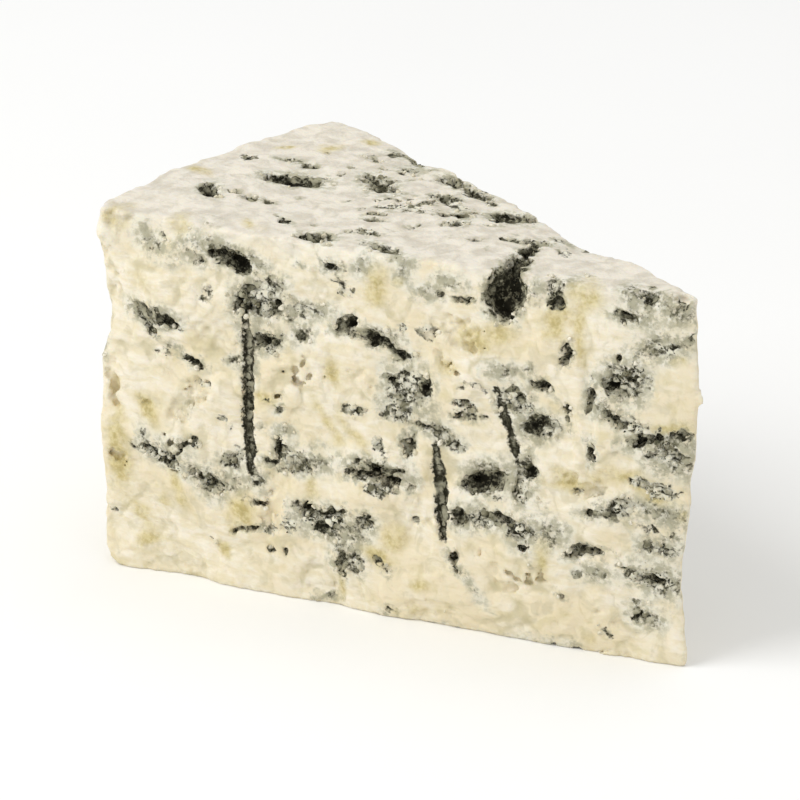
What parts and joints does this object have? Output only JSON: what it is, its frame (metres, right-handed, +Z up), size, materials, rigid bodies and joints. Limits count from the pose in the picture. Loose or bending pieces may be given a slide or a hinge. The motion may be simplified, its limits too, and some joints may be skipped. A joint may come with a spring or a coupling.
{
  "type": "blue cheese wedge",
  "caption": "Wedge of blue-veined cheese with uneven cut faces, open hollows, pits and needle channels, a rounded rind edge and a flat base to stand on.",
  "frame": {"origin": "middle of the bounding box's base, on the surface that the wedge stands on", "axes": "+X from the rind to the tip, +Z up, and the cut face with the named hollows on the -Y side"},
  "size_m": [0.101, 0.0556, 0.06],
  "materials": {
    "blue_cheese": "moist, waxy cream paste, blue-green to grey where mould has grown"
  },
  "bodies": {
    "root": {"cheese_wedge": "blue_cheese"}
  },
  "joints": []
}
